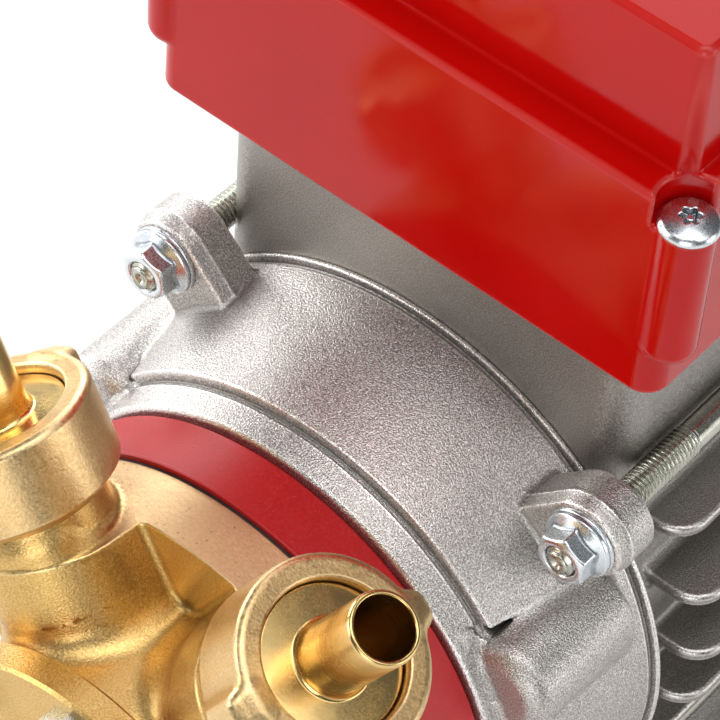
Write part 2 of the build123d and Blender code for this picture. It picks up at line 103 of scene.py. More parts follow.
def nets(f, A, B, C, to=plain, turn=False, steps=3):
    """Vertices, quads, normals and edge measure of the surface f = 0 on the grid A, B, C."""
    nA, nB, nC = len(A), len(B), len(C)
    s = 4
    ka, kb, kc = [np.arange(0, n, s) for n in (nA, nB, nC)]
    Ae = np.append(A, A[0] + 2 * math.pi) if turn else A

    def span(k, arr):
        lo, hi = arr[k], arr[np.minimum(k + s, len(arr) - 1)]
        return lo, hi
    al, ah = span(ka, Ae)
    bl, bh = span(kb, B)
    cl, ch = span(kc, C)
    mid = np.meshgrid((al + ah) / 2, (bl + bh) / 2, (cl + ch) / 2, indexing="ij")
    mx, my, mz = to(*mid)
    reach = np.zeros(mx.shape)
    for u in (0, 1):
        for v in (0, 1):
            for w in (0, 1):
                g = np.meshgrid((al, ah)[u], (bl, bh)[v], (cl, ch)[w], indexing="ij")
                gx, gy, gz = to(*g)
                reach = np.maximum(reach, np.sqrt((gx - mx) ** 2 + (gy - my) ** 2 + (gz - mz) ** 2))
    dm = f(mx, my, mz)
    near = np.abs(dm) < reach * 1.2 + 0.3
    V = np.repeat(np.repeat(np.repeat(np.where(dm < 0, -9.0, 9.0), s, 0), s, 1), s, 2)[:nA, :nB, :nC].astype(np.float32)
    M = np.repeat(np.repeat(np.repeat(near, s, 0), s, 1), s, 2)[:nA, :nB, :nC]
    i, j, k = np.nonzero(M)
    out = np.empty(len(i))
    for q in range(0, len(i), 400000):
        w = slice(q, q + 400000)
        out[w] = f(*to(A[i[w]], B[j[w]], C[k[w]]))
    V[i, j, k] = out
    ins = V < 0
    nI = nA if turn else nA - 1

    def at(arr, di, dj, dk):
        arr = np.roll(arr, -di, 0) if (turn and di) else arr
        o = 0 if turn else di
        return arr[o:o + nI, dj:dj + nB - 1, dk:dk + nC - 1]
    cnt = sum(at(ins, *c).astype(np.int8) for c in CORNERS)
    ci, cj, ck = np.nonzero((cnt > 0) & (cnt < 8))
    vid = np.full((nI, nB - 1, nC - 1), -1, np.int64)
    vid[ci, cj, ck] = np.arange(len(ci))
    acc = np.zeros((len(ci), 3))
    num = np.zeros(len(ci))
    for e0, e1 in EDGES:
        a, b = CORNERS[e0], CORNERS[e1]
        ia, ja, ka_ = ci + a[0], cj + a[1], ck + a[2]
        ib, jb, kb_ = ci + b[0], cj + b[1], ck + b[2]
        va, vb = V[ia % nA, ja, ka_].astype(float), V[ib % nA, jb, kb_].astype(float)
        hit = (va < 0) != (vb < 0)
        t = np.where(hit, va / np.where(hit, va - vb, 1.0), 0.0)
        pa = np.stack([Ae[ia], B[ja], C[ka_]], 1)
        pb = np.stack([Ae[ib], B[jb], C[kb_]], 1)
        acc += np.where(hit[:, None], pa + t[:, None] * (pb - pa), 0.0)
        num += hit
    par = acc / num[:, None]
    P = np.stack(to(par[:, 0], par[:, 1], par[:, 2]), 1)
    lim = 0.7

    def grad(P, e=0.02):
        g = np.empty_like(P)
        for d in range(3):
            o = np.zeros(3)
            o[d] = e
            g[:, d] = (f(*(P + o).T) - f(*(P - o).T)) / (2 * e)
        return g
    for _ in range(steps):
        d = f(*P.T)
        g = grad(P)
        q = -d[:, None] * g / np.maximum((g * g).sum(1), 0.05)[:, None]
        ln = np.linalg.norm(q, axis=1)
        P = P + q * np.minimum(1.0, lim / np.maximum(ln, 1e-9))[:, None]
    g = grad(P, 0.04)
    N = g / np.maximum(np.linalg.norm(g, axis=1), 1e-9)[:, None]
    e = 0.45
    lap = -6 * f(*P.T)
    for d in range(3):
        o = np.zeros(3)
        o[d] = e
        lap = lap + f(*(P + o).T) + f(*(P - o).T)
    edge = np.clip(lap / e ** 2, -1.5, 1.5)
    quads = []
    # edges of the grid along A
    up = np.roll(ins, -1, 0) if turn else ins[1:]
    lo_ = ins if turn else ins[:-1]
    x = (lo_ != up)[:, 1:nB - 1, 1:nC - 1]
    i, j, k = np.nonzero(x)
    j, k = j + 1, k + 1
    q = np.stack([vid[i, j - 1, k - 1], vid[i, j, k - 1], vid[i, j, k], vid[i, j - 1, k]], 1)
    fl = ~lo_[i, j, k]
    q[fl] = q[fl][:, ::-1]
    quads.append(q)
    # along B
    x = ins[:, :-1] != ins[:, 1:]
    x = x[:, :, 1:nC - 1]
    if not turn:
        x = x[1:nA - 1]
    i, j, k = np.nonzero(x)
    k = k + 1
    if not turn:
        i = i + 1
    im = (i - 1) % nI
    q = np.stack([vid[im, j, k], vid[i, j, k], vid[i, j, k - 1], vid[im, j, k - 1]], 1)
    fl = ~ins[i, j, k]
    q[fl] = q[fl][:, ::-1]
    quads.append(q)
    # along C
    x = ins[:, :, :-1] != ins[:, :, 1:]
    x = x[:, 1:nB - 1]
    if not turn:
        x = x[1:nA - 1]
    i, j, k = np.nonzero(x)
    j = j + 1
    if not turn:
        i = i + 1
    im = (i - 1) % nI
    q = np.stack([vid[im, j - 1, k], vid[i, j - 1, k], vid[i, j, k], vid[im, j, k]], 1)
    fl = ~ins[i, j, k]
    q[fl] = q[fl][:, ::-1]
    quads.append(q)
    Q = np.concatenate(quads)
    Q = Q[(Q >= 0).all(1)]
    c = np.cross(P[Q[:, 2]] - P[Q[:, 0]], P[Q[:, 3]] - P[Q[:, 1]])
    if (c * N[Q[:, 0]]).sum() < 0:
        Q = Q[:, ::-1]
    return P, Q, N, edge


def to_row(P):
    return (P + np.array([0.0, Y0, AXIS_H])) * 0.001


TRIS = {}


def make(name, P, faces, N=None, edge=None, mats=(), nodes=(), extra=None, flat=False):
    """One piece from vertices in millimetres; faces is one array or a list of arrays of equal-sided faces."""
    P = to_row(np.asarray(P, float))
    faces = faces if isinstance(faces, list) else [faces]
    me = bpy.data.meshes.new(name)
    me.vertices.add(len(P))
    me.vertices.foreach_set("co", P.astype(np.float32).ravel())
    loops = np.concatenate([np.asarray(f).ravel() for f in faces])
    sizes = np.concatenate([np.full(len(f), np.asarray(f).shape[1]) for f in faces])
    starts = np.concatenate([[0], np.cumsum(sizes)[:-1]])
    me.loops.add(len(loops))
    me.loops.foreach_set("vertex_index", loops.astype(np.int32))
    me.polygons.add(len(sizes))
    me.polygons.foreach_set("loop_start", starts.astype(np.int32))
    me.update(calc_edges=True)
    me.validate()
    me.polygons.foreach_set("use_smooth", np.full(len(me.polygons), not flat))
    if edge is not None:
        at = me.attributes.new("edge", "FLOAT", "POINT")
        at.data.foreach_set("value", np.asarray(edge, np.float32))
    for key, val in (extra or {}).items():
        at = me.attributes.new(key, "FLOAT", "POINT")
        at.data.foreach_set("value", np.asarray(val, np.float32))
    if N is not None:
        me.normals_split_custom_set_from_vertices([tuple(n) for n in N])
    me.update()
    for m in (mats if isinstance(mats, (list, tuple)) else (mats,)):
        me.materials.append(m)
    ob = bpy.data.objects.new(name, me)
    bpy.context.scene.collection.objects.link(ob)
    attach(ob, "root")
    if nodes:
        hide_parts(*nodes)
    TRIS[name] = int((sizes - 2).sum())
    return ob


def lathe(profile, sides, centre, axis, start=None, round_edges=0.0, closed=True):
    """Closed surface of revolution: profile points (along, radius) in order, about an axis."""
    pr = np.array(profile, float)
    if round_edges > 0:
        out = []
        n = len(pr)
        for i in range(n):
            p, a, b = pr[i], pr[i - 1] - pr[i], pr[(i + 1) % n] - pr[i]
            if not closed and i in (0, n - 1):
                out.append(p)
                continue
            la, lb = np.linalg.norm(a), np.linalg.norm(b)
            r = min(round_edges, la * 0.45, lb * 0.45)
            if r < 0.01:
                out.append(p)
                continue
            p0, p1 = p + a / la * r, p + b / lb * r
            for t in (0.0, 0.25, 0.5, 0.75, 1.0):
                out.append((1 - t) ** 2 * p0 + 2 * t * (1 - t) * p + t * t * p1)
        pr = np.array(out)
    axis = np.array(axis, float) / np.linalg.norm(axis)
    u = np.cross(axis, [0, 1.0, 0] if abs(axis[1]) < 0.9 else [1.0, 0, 0])
    u /= np.linalg.norm(u)
    v = np.cross(axis, u)
    th = np.arange(sides) * 2 * math.pi / sides
    ring = np.cos(th)[:, None] * u + np.sin(th)[:, None] * v
    P = np.array(centre, float) + pr[:, None, 0:1] * axis + pr[:, None, 1:2] * ring[None]
    m = len(pr)
    P = P.reshape(-1, 3)
    idx = np.arange(m * sides).reshape(m, sides)
    nx = np.roll(idx, -1, 1)
    rows = range(m) if closed else range(m - 1)
    Q = np.concatenate([np.stack([idx[i], nx[i], nx[(i + 1) % m], idx[(i + 1) % m]], 1) for i in rows])
    return P, Q, pr


def outward(P, Q):
    """Quads turned so that the volume is positive."""
    a, b, c, d = P[Q[:, 0]], P[Q[:, 1]], P[Q[:, 2]], P[Q[:, 3]]
    v = (np.cross(a, b) * c).sum() + (np.cross(a, c) * d).sum()
    return Q if v > 0 else Q[:, ::-1]


def smooth_by_angle(ob, deg=32):
    me = ob.data
    me.polygons.foreach_set("use_smooth", np.full(len(me.polygons), True))
    if hasattr(me, "set_sharp_from_angle"):
        me.set_sharp_from_angle(angle=math.radians(deg))


# ---- procedural finishes ---------------------------------------------------------------
class Net:
    def __init__(self, name):
        self.m = bpy.data.materials.new(name)
        self.m.use_nodes = True
        self.t = self.m.node_tree
        self.t.nodes.clear()
        self.out = self.n("ShaderNodeOutputMaterial")
        self.b = self.n("ShaderNodeBsdfPrincipled")
        self.t.links.new(self.b.outputs[0], self.out.inputs[0])
        self.tc = self.n("ShaderNodeTexCoord")
        self.co = self.tc.outputs["Object"]

    def n(self, kind, **kw):
        nd = self.t.nodes.new(kind)
        for k, v in kw.items():
            setattr(nd, k, v)
        return nd

    def link(self, a, b):
        self.t.links.new(a, b)

    def put(self, sock, v):
        if isinstance(v, bpy.types.NodeSocket):
            self.link(v, sock)
        elif isinstance(v, (tuple, list)) and len(v) == 3 and sock.type == "RGBA":
            sock.default_value = (*v, 1.0)
        else:
            sock.default_value = v

    def noise(self, scale, detail=2.0, rough=0.5, dist=0.0, vec=None, w=None):
        nd = self.n("ShaderNodeTexNoise")
        self.put(nd.inputs["Vector"], vec or self.co)
        nd.inputs["Scale"].default_value = scale
        nd.inputs["Detail"].default_value = detail
        nd.inputs["Roughness"].default_value = rough
        nd.inputs["Distortion"].default_value = dist
        return nd.outputs["Fac"]

    def voronoi(self, scale, feature="F1", vec=None, out="Distance"):
        nd = self.n("ShaderNodeTexVoronoi", feature=feature)
        self.put(nd.inputs["Vector"], vec or self.co)
        nd.inputs["Scale"].default_value = scale
        return nd.outputs[out]

    def ramp(self, fac, stops):
        nd = self.n("ShaderNodeValToRGB")
        self.put(nd.inputs[0], fac)
        el = nd.color_ramp.elements
        while len(el) < len(stops):
            el.new(0.5)
        for e, (p, c) in zip(el, stops):
            e.position = p
            e.color = (*c, 1.0) if isinstance(c, (tuple, list)) else (c, c, c, 1.0)
        return nd.outputs[0]

    def range(self, v, a, b, c, d, clamp=True):
        nd = self.n("ShaderNodeMapRange")
        nd.clamp = clamp
        self.put(nd.inputs[0], v)
        for i, x in zip((1, 2, 3, 4), (a, b, c, d)):
            self.put(nd.inputs[i], x)
        return nd.outputs[0]

    def math(self, op, a, b=0.0):
        nd = self.n("ShaderNodeMath", operation=op)
        self.put(nd.inputs[0], a)
        self.put(nd.inputs[1], b)
        return nd.outputs[0]

    def mix(self, fac, a, b, blend="MIX"):
        nd = self.n("ShaderNodeMix", data_type="RGBA", blend_type=blend)
        self.put(nd.inputs[0], fac)
        self.put(nd.inputs[6], a)
        self.put(nd.inputs[7], b)
        return nd.outputs[2]

    def attr(self, name):
        nd = self.n("ShaderNodeAttribute", attribute_name=name)
        return nd.outputs["Fac"]

    def along(self, axis):
        nd = self.n("ShaderNodeVectorMath", operation="DOT_PRODUCT")
        self.link(self.co, nd.inputs[0])
        nd.inputs[1].default_value = axis
        return nd.outputs["Value"]

    def bump(self, height, strength, dist, prev=None):
        nd = self.n("ShaderNodeBump")
        nd.inputs["Strength"].default_value = strength
        nd.inputs["Distance"].default_value = dist
        self.put(nd.inputs["Height"], height)
        if prev is not None:
            self.link(prev, nd.inputs["Normal"])
        return nd.outputs[0]

    def set(self, **kw):
        names = {"color": "Base Color", "metal": "Metallic", "rough": "Roughness", "normal": "Normal",
                 "ior": "IOR", "coat": "Coat Weight", "coat_rough": "Coat Roughness", "spec": "Specular IOR Level",
                 "aniso": "Anisotropic", "sss": "Subsurface Weight", "sss_scale": "Subsurface Scale"}
        for k, v in kw.items():
            self.put(self.b.inputs[names[k]], v)
        return self


def cast_metal(name, base, deep, worn_and_sheen, rough, grain, pit=0.0, grit=1.0, metal=0.92, turned=None, lump=0.08, wear_and_sheen_by=1.0):
    """Blasted casting: crisp fine grain, soft undulation, convex edges lighter from real wear and a painted highlight,
    painted shade darkening the hollows.
    """
    m = Net(name)
    fine = m.noise(grain, 0.5, 0.5)
    mid = m.noise(grain * 0.5, 1.5, 0.6)
    wide = m.noise(55.0, 4.0, 0.55)
    edge = m.attr("edge")
    # convex edges lighter: partly real wear, partly painted highlight
    wear_and_sheen = m.range(edge, 0.35, 1.1, 0.0, wear_and_sheen_by)
    # painted shade mask: concave hollows
    hollow_shade = m.range(edge, -0.12, -0.9, 0.0, 1.0)
    c = m.mix(m.range(wide, 0.3, 0.7, 0.0, 1.0), base, deep)
    c = m.mix(m.range(fine, 0.48, 0.32, 0.0, 0.55 * grit), c, tuple(v * 0.35 for v in deep))
    c = m.mix(m.range(fine, 0.52, 0.68, 0.0, 0.75 * grit), c, worn_and_sheen)
    c = m.mix(m.range(mid, 0.42, 0.28, 0.0, 0.35 * grit), c, tuple(v * 0.55 for v in deep))
    # painted shade darkening the hollows
    c = m.mix(m.math("MULTIPLY", hollow_shade, 0.55), c, tuple(v * 0.45 for v in deep))
    # lighter convex edges: real wear plus painted highlight
    c = m.mix(m.math("MULTIPLY", wear_and_sheen, m.range(mid, 0.3, 0.6, 0.35, 0.9)), c, worn_and_sheen)
    r = m.math("ADD", m.range(mid, 0.3, 0.7, rough - 0.05, rough + 0.08), m.math("MULTIPLY", wear_and_sheen, -0.10))
    h = m.math("ADD", m.math("MULTIPLY", fine, 0.9), m.math("MULTIPLY", mid, 0.6))
    if turned:
        t = m.attr("turned")
        h = m.math("MULTIPLY", h, m.range(t, 0.0, 1.0, 1.0, 0.45))
    n = m.bump(m.noise(150.0, 3.0, 0.5), lump, 0.0006)
    n = m.bump(h, 0.6 * grit, 0.00016, n)
    if pit:
        v = m.voronoi(grain * 0.22)
        n = m.bump(m.range(v, 0.0, 0.35, 0.0, 1.0), pit, 0.0001, n)
    if turned:
        pits = m.range(m.voronoi(800.0), 0.06, 0.24, 1.0, 0.0)
        few = m.range(m.noise(220.0, 2.0, 0.5), 0.47, 0.58, 0.0, 1.0)
        pits = m.math("MULTIPLY", pits, few)
        sm = m.mix(m.range(wide, 0.3, 0.7, 0.0, 1.0), turned, tuple(v * 0.86 for v in turned))
        sm = m.mix(m.math("MULTIPLY", pits, 0.8), sm, tuple(v * 0.25 for v in turned))
        sm = m.mix(m.range(mid, 0.4, 0.6, 0.0, 0.30), sm, tuple(v * 0.68 for v in turned))
        c = m.mix(t, c, sm)
        r = m.range(t, 0.0, 1.0, r, rough + 0.04)
    m.set(color=c, metal=metal, rough=r, normal=n)
    return m.m


def glossy_plastic(name, base, deep, rough=0.10):
    m = Net(name)
    wide = m.noise(30.0, 3.0, 0.5)
    dust = m.noise(2600.0, 1.0, 0.5)
    spot = m.range(m.voronoi(420.0), 0.0, 0.05, 1.0, 0.0)
    edge = m.range(m.attr("edge"), 0.3, 1.2, 0.0, 1.0)
    c = m.mix(m.range(wide, 0.3, 0.7, 0.0, 1.0), base, deep)
    # painted highlight: convex edges tinted pink
    c = m.mix(m.math("MULTIPLY", edge, 0.10), c, (0.95, 0.35, 0.30))
    c = m.mix(m.math("MULTIPLY", spot, 0.10), c, (0.9, 0.75, 0.72))
    r = m.math("ADD", m.range(m.noise(90.0, 4.0, 0.6), 0.3, 0.7, rough - 0.03, rough + 0.05), m.math("MULTIPLY", edge, 0.06))
    n = m.bump(m.noise(120.0, 2.0, 0.5), 0.05, 0.0004)
    n = m.bump(dust, 0.03, 0.00004, n)
    m.set(color=c, rough=r, normal=n, spec=0.27, ior=1.5)
    return m.m


def plated(name, base, tint, rough, scratch=1.0, metal=1.0):
    """Zinc plated or drawn steel: bright, slightly mottled passivation, small scratches, painted highlight on convex
    edges, painted shade in hollows and thread roots.
    """
    m = Net(name)
    wide = m.noise(420.0, 3.0, 0.55)
    fine = m.noise(3200.0, 2.0, 0.6)
    edge = m.range(m.attr("edge"), 0.4, 1.3, 0.0, 1.0)
    c = m.mix(m.range(wide, 0.3, 0.7, 0.0, 1.0), base, tint)
    # painted highlight: convex edges lightened towards near-white
    c = m.mix(m.math("MULTIPLY", edge, 0.5), c, (0.86, 0.87, 0.88))
    # painted shade: hollows and thread roots darkened
    c = m.mix(m.range(m.attr("edge"), -0.2, -1.0, 0.0, 0.7), c, tuple(v * 0.35 for v in tint))
    r = m.range(fine, 0.3, 0.7, rough - 0.06, rough + 0.08)
    n = m.bump(wide, 0.12 * scratch, 0.00008)
    n = m.bump(fine, 0.10 * scratch, 0.00003, n)
    m.set(color=c, metal=metal, rough=r, normal=n)
    return m.m


def turned_brass(name, base, deep, rough, axis, rings, strength):
    """Machined brass with fine turning rings along its axis, painted highlight on convex edges, painted shade in
    hollows.
    """
    m = Net(name)
    wide = m.noise(110.0, 4.0, 0.6, 0.4)
    fine = m.noise(2400.0, 2.0, 0.6)
    s = m.along(axis)
    vec = m.n("ShaderNodeCombineXYZ")
    m.put(vec.inputs[0], m.math("MULTIPLY", s, rings))
    lines = m.noise(1.0, 3.0, 0.7, vec=vec.outputs[0])
    edge = m.attr("edge")
    c = m.mix(m.range(wide, 0.32, 0.68, 0.0, 1.0), base, deep)
    # painted highlight: convex edges lightened
    c = m.mix(m.range(edge, 0.35, 1.2, 0.0, 0.5), c, (0.98, 0.86, 0.58))
    # painted shade: hollows darkened
    c = m.mix(m.range(edge, -0.15, -1.0, 0.0, 0.6), c, tuple(v * 0.4 for v in deep))
    r = m.math("ADD", m.range(wide, 0.3, 0.7, rough - 0.04, rough + 0.07), m.range(fine, 0.3, 0.7, -0.03, 0.05))
    n = m.bump(lines, strength, 0.00006)
    n = m.bump(fine, 0.10, 0.00004, n)
    n = m.bump(m.noise(240.0, 2.0, 0.5), 0.10, 0.0003, n)
    m.set(color=c, metal=1.0, rough=r, normal=n)
    return m.m


ALU = cast_metal("blasted_aluminium", (0.53, 0.50, 0.475), (0.46, 0.434, 0.41), (0.90, 0.87, 0.84), 0.38, 3900.0)
ALU_BOX = cast_metal("frame_aluminium", (0.38, 0.358, 0.332), (0.32, 0.301, 0.278), (0.66, 0.63, 0.59), 0.42, 3600.0, grit=0.55)
BRASS = cast_metal("cast_brass", (0.74, 0.485, 0.175), (0.63, 0.40, 0.125), (0.95, 0.76, 0.42), 0.36, 3000.0, pit=0.12, grit=0.40, metal=0.97, turned=(0.78, 0.535, 0.29), wear_and_sheen_by=0.5)
RED_BOX = glossy_plastic("glossy_red_plastic", (0.50, 0.003, 0.002), (0.44, 0.002, 0.0015))
ZINC = plated("zinc_plate", (0.70, 0.74, 0.77), (0.58, 0.64, 0.69), 0.27)
ROD = plated("zinc_rod", (0.58, 0.57, 0.50), (0.46, 0.47, 0.40), 0.26)
n_l, n_r = tuple(PORTS[-1]), tuple(PORTS[1])
NUT_L = cast_metal("union_brass", (0.78, 0.55, 0.27), (0.66, 0.44, 0.19), (0.97, 0.82, 0.52), 0.36, 2600.0, pit=0.08, grit=0.26, metal=0.98, lump=0.16, wear_and_sheen_by=0.35)
NUT_R = NUT_L
TAIL_L = turned_brass("tail_brass_left", (0.90, 0.68, 0.30), (0.78, 0.54, 0.20), 0.20, n_l, 1500.0, 0.5)
TAIL_R_ = turned_brass("tail_brass_right", (0.86, 0.62, 0.27), (0.74, 0.49, 0.18), 0.20, n_r, 1500.0, 0.5)


def red_enamel():
    m = Net("red_enamel")
    fine = m.noise(1900.0, 3.0, 0.6)
    wide = m.noise(70.0, 4.0, 0.6)
    speck = m.range(m.voronoi(900.0), 0.0, 0.09, 1.0, 0.0)
    edge = m.attr("edge")
    c = m.mix(m.range(wide, 0.3, 0.7, 0.0, 1.0), (0.50, 0.008, 0.010), (0.42, 0.006, 0.008))
    c = m.mix(m.range(fine, 0.45, 0.75, 0.0, 0.35), c, (0.60, 0.03, 0.032))
    c = m.mix(m.math("MULTIPLY", speck, 0.5), c, (0.75, 0.45, 0.42))
    # painted shade: enamel darkened where the edge value is high, at the front rim and the band next to the lip
    c = m.mix(m.range(edge, 0.3, 1.2, 0.0, 0.5), c, (0.22, 0.006, 0.008))
    n = m.bump(fine, 0.30, 0.00009)
    n = m.bump(wide, 0.08, 0.0005, n)
    m.set(color=c, rough=m.range(fine, 0.3, 0.7, 0.34, 0.50), normal=n, spec=0.42)
    return m.m


def dull(name, base, deep, rough, grain=1500.0, strength=0.25, metal=0.0):
    m = Net(name)
    fine = m.noise(grain, 3.0, 0.6)
    wide = m.noise(80.0, 4.0, 0.6)
    edge = m.attr("edge")
    c = m.mix(m.range(wide, 0.3, 0.7, 0.0, 1.0), base, deep)
    c = m.mix(m.range(fine, 0.5, 0.8, 0.0, 0.3), c, tuple(min(1.0, v * 1.6 + 0.02) for v in base))
    # painted highlight: convex edges lightened
    c = m.mix(m.range(edge, 0.3, 1.2, 0.0, 0.35), c, tuple(min(1.0, v * 2.0 + 0.05) for v in base))
    n = m.bump(fine, strength, 0.00008)
    m.set(color=c, rough=m.range(fine, 0.3, 0.7, rough - 0.06, rough + 0.08), normal=n, metal=metal)
    return m.m


RING = red_enamel()
RUBBER = dull("black_rubber", (0.016, 0.015, 0.015), (0.010, 0.010, 0.010), 0.55)
FIBRE = dull("gasket_fibre", (0.05, 0.045, 0.04), (0.03, 0.03, 0.028), 0.7)
BLACK = dull("black_plastic", (0.022, 0.022, 0.024), (0.015, 0.015, 0.016), 0.38, 1300.0, 0.22)
COWL = dull("cowl_paint", (0.022, 0.022, 0.024), (0.015, 0.015, 0.016), 0.36, 1100.0, 0.25)
STEEL = plated("ground_steel", (0.50, 0.50, 0.50), (0.40, 0.40, 0.41), 0.24)


# ---- bracket ----------------------------------------------------------------------------
def ear(x, y, z, sx, sz, y0, y1, R=8.2):
    """Rod ear: barrel round the rod that runs in towards the shaft."""
    k = math.hypot(ROD_X, ROD_Z)
    dx, dz = x - sx * ROD_X, z - sz * ROD_Z
    a = -(dx * sx * ROD_X + dz * sz * ROD_Z) / k
    b = (dx * sz * ROD_Z - dz * sx * ROD_X) / k
    if y1 < 40:
        R = ramp(y, 21.8, 7.45, 24.7, 8.2)
    d2 = np.where(a < 0, np.hypot(a, b), np.abs(b)) - R
    d2 = np.maximum(d2, a - 30.0)
    seam = 0.13 * np.exp(-((y - 24.6) / 0.34) ** 2) if y1 < 40 else 0.0
    return d2 - seam, dx, dz


def f_bracket(x, y, z):
    r = np.hypot(x, z)
    lip = rmax((r - (49.3 + 0.29 * y)) * 0.96, -y, 0.8)
    lip = np.maximum(lip, y - 9.0)
    main = rmax((r - ramp(y, 6.2, 52.6, 33.4, 57.2)) * 0.985, 6.2 - y, 0.4)
    main = rmax(main, y - 33.5, 0.35)
    d = rmin(lip, main, 0.12)
    d = rmax(d, -np.maximum(np.abs(y - 5.7) - 0.5, 50.45 - r), 0.15)
    ax_, az = np.abs(x), np.abs(z)
    # valley between the panel edge and the side boss, with a crisp edge to the panel
    notch = np.maximum(np.maximum(az - 33.2, 22.0 - az), np.maximum(y - 29.5, ramp(y, 6.0, 50.5, 13.0, 48.6) - r))
    notch = np.maximum(notch, 30.0 - ax_)
    d = rmax(d, -notch, 0.75)
    boss = np.hypot(ax_ - 45.5, az - 23.3) - 9.5
    boss = rmax(boss, y - 29.5, 1.4)
    boss = rmax(boss, 3.0 - y, 4.0)
    d = rmin(d, boss, 2.0)
    # cove and bead against the frame
    cove = np.maximum(r - 56.5, np.maximum(32.6 - y, y - 35.2))
    d = np.minimum(d, cove)
    bead = rmax(r - 58.28, 34.45 - y, 0.38)
    bead = rmax(bead, y - 35.4, 0.3)
    d = rmin(d, bead, 0.25)
    for sx in (1, -1):
        for sz in (1, -1):
            e2, dx, dz = ear(x, y, z, sx, sz, 21.8, 31.0)
            e = rmax(e2, 21.8 - y, 0.4)
            e = rmax(e, y - 31.0, 0.8)
            d = rmin(d, e, 1.1)
            d = np.maximum(d, -(np.hypot(dx, dz) - 3.25))
    d = np.maximum(d, y - 35.4)
    return np.maximum(d, 42.0 - r)


P, Q, N, E = nets(f_bracket, around(12.0, 168.0, 0.62, 1.45),
                  ax(40.5, 2.2, 47.3, 0.9, 49.0, 0.5, 59.5, 0.75, 75.5),
                  ax(-0.7, 0.35, 1.1, 0.8, 4.8, 0.25, 7.0, 0.8, 21.0, 0.35, 22.4, 0.8, 24.0, 0.3, 25.2, 0.8, 28.4, 0.5, 30.2, 0.8, 32.8, 0.26, 36.0), round_shaft, True)
make("motor_bracket_casting", P, Q, N, E, ALU, ["motor_bracket"])


# ---- finned frame ---------------------------------------------------------------------------
FINS = (44.5, 30.2, 16.0, 1.8, -12.4, -26.6, -40.8)


def f_frame(x, y, z):
    r = np.hypot(x, z)
    d = np.maximum(r - 49.0, np.maximum(35.6 - y, y - 135.8))
    for z0 in FINS:
        w = math.sqrt(60.8 ** 2 - z0 ** 2)
        fin = rmax(rrect(x, y - 86.0, w, 41.6, 6.5), np.abs(z - z0) - 1.3, 0.9)
        d = rmin(d, fin, 1.6)
    ped = rmax(rrect(x - BOX_X, y - 80.7, 44.4, 45.3, 7.0), z - 82.0, 0.6)
    ped = np.maximum(ped, 20.0 - z)
    d = rmin(d, ped, 1.6)
    for s in (1, -1):
        xs = x * s
        # leg: sloping web outside, upright inside
        leg = np.maximum((xs - ramp(z, -63.5, 50.0, -57.0, 40.5)) * 0.8, ramp(z, -71.0, 24.0, -38.0, 20.0) - xs)
        leg = np.maximum(leg, z + 24.0)
        leg = rmax(leg, np.abs(y - 86.0) - 41.0, 2.0)
        d = rmin(d, leg, 2.5)
        pad = rmax(rrect(xs - 50.0, y - 86.0, 17.0, 53.0, 5.0), z + 63.0, 1.2)
        d = rmin(d, pad, 2.0)
        for fy in (41.0, 131.0):
            h = np.hypot(xs - 56.0, y - fy)
            d = rmax(d, -np.maximum(h - 3.5, z + 59.0), 0.3)
            d = rmax(d, -np.maximum(h - 6.6, np.maximum(-63.4 - z, z + 54.0)), 0.4)
    d = np.maximum(d, -71.0 - z)
    for cx, cz in SPOTS:
        d = rmax(d, -(np.hypot(x - cx, z - cz) - 3.3), 0.3)
    return np.maximum(d, np.maximum(35.4 - y, y - 136.0))


def fin_lines():
    """Heights for the frame grid: five lines across each fin, wider steps between fins."""
    out = list(ax(-71.8, 1.2, -58.0, 1.5, FINS[-1] - 2.4))
    for z0 in FINS[::-1]:
        out += [z0 - 2.2, z0 - 1.55, z0 - 1.0, z0 - 0.35, z0 + 0.35, z0 + 1.0, z0 + 1.55, z0 + 2.2]
        nxt = z0 + 14.1 - 2.4
        out += list(np.linspace(z0 + 2.2, min(nxt, 56.0), 7)[1:-1]) if z0 < 44 else []
    out += list(ax(47.6, 1.3, 60.0, 3.0, 80.0, 0.5, 83.2))
    return np.array(sorted(set(np.round(out, 3))))


P, Q, N, E = nets(f_frame, np.concatenate([-ax(37.0, 0.9, 68.0)[::-1], ax(-34.0, 3.0, 34.0), ax(37.0, 0.6, 60.0, 0.9, 68.0)]),
                  ax(34.8, 0.4, 36.0, 0.9, 43.2, 0.5, 51.0, 4.0, 120.0, 1.0, 129.0, 1.6, 137.0), fin_lines())
make("stator_frame_casting", P, Q, N, E, ALU_BOX, ["stator_frame"])


# ---- rear shield ---------------------------------------------------------------------------------
def f_shield(x, y, z):
    r = np.hypot(x, z)
    d = rmax(r - 58.28, y - 142.6, 2.6)
    d = rmin(d, rmax(r - 53.0, y - 149.0, 2.0), 1.5)
    d = rmin(d, rmax(r - 22.0, y - 153.0, 2.0), 3.0)
    for sx in (1, -1):
        for sz in (1, -1):
            e2, dx, dz = ear(x, y, z, sx, sz, 136.0, 145.0)
            e = rmax(e2, y - 145.0, 0.9)
            e = rmax(e, 136.2 - y, 0.5)
            d = rmin(d, e, 2.4)
            rr = np.hypot(dx, dz)
            d = rmax(d, -np.maximum(rr - 9.6, 145.0 - y), 0.25)
            d = np.maximum(d, -(rr - 3.25))
    d = np.maximum(d, 136.0 - y)
    return np.maximum(d, 14.0 - r)


P, Q, N, E = nets(f_shield, np.arange(220) * 2 * math.pi / 220, ax(13.0, 2.4, 50.0, 1.15, 75.6), ax(135.2, 0.9, 153.8), round_shaft, True)
make("rear_shield_casting", P, Q, N, E, ALU, ["rear_shield"])


# ---- brass body -------------------------------------------------------------------------------------
def port_frame(x, y, z, s):
    n = PORTS[s]
    qx, qy, qz = x, y - PORT_Y, z - PORT_Z
    t = qx * n[0] + qz * n[2]
    u = qx * n[2] - qz * n[0]          # away from the port axis, towards +x
    return t, u, qy


